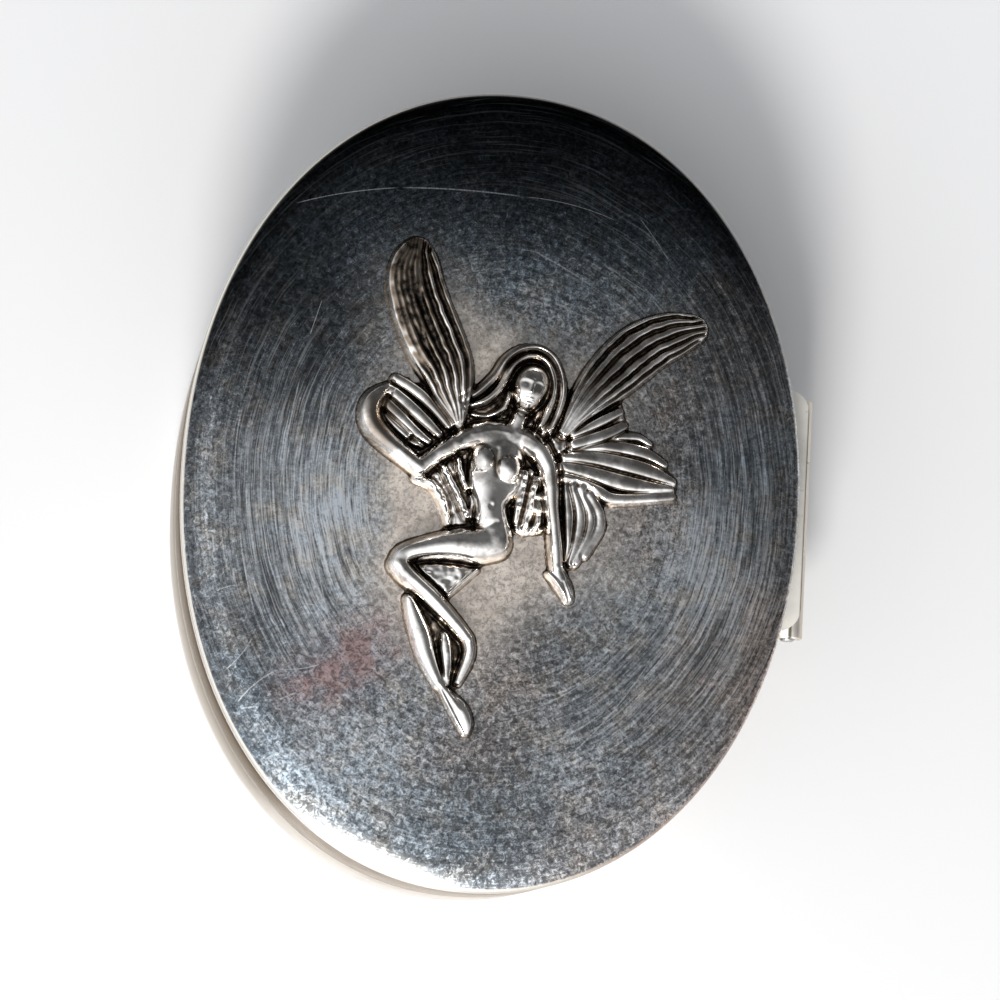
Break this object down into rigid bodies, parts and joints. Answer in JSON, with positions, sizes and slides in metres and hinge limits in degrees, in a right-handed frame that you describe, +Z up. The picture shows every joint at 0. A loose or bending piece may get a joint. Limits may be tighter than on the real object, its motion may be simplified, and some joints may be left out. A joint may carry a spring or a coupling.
{
  "type": "trinket box",
  "caption": "Small oval silver trinket box with a hinged, slightly domed lid that carries a cast winged figure in relief.",
  "frame": {"origin": "middle of the flat underside, on the surface that the box stands on", "axes": "+X towards the hinge, +Y along the long axis of the oval towards the figure's head, +Z up through the lid"},
  "size_m": [0.0358, 0.044, 0.0165],
  "materials": {
    "base_silver": "hand polished silver with fine scratches and a warm tarnish",
    "inner_silver": "satin silver",
    "hinge_silver": "polished silver",
    "pin_wire": "drawn wire",
    "lid_silver": "polished silver under a blue-grey tarnish, with fine swirling scratches",
    "cast_silver": "polished cast silver with blackened recesses"
  },
  "bodies": {
    "box_base": {"base_plate": "base_silver", "base_wall": "base_silver", "inner_bezel": "inner_silver", "base_hinge_bearer": "hinge_silver", "base_knuckle_upper": "hinge_silver", "base_knuckle_lower": "hinge_silver", "hinge_pin": "pin_wire"},
    "lid": {"lid_plate": "lid_silver", "lid_wall": "base_silver", "lid_hinge_bearer": "hinge_silver", "lid_knuckle": "hinge_silver", "fairy_figure": "cast_silver"}
  },
  "joints": [
    {"name": "lid_hinge", "type": "hinge", "parent": "box_base", "child": "lid", "pos_m": [0.01795, 0, 0.00635], "axis": [0, 1, 0], "range_deg": [0, 150]}
  ]
}
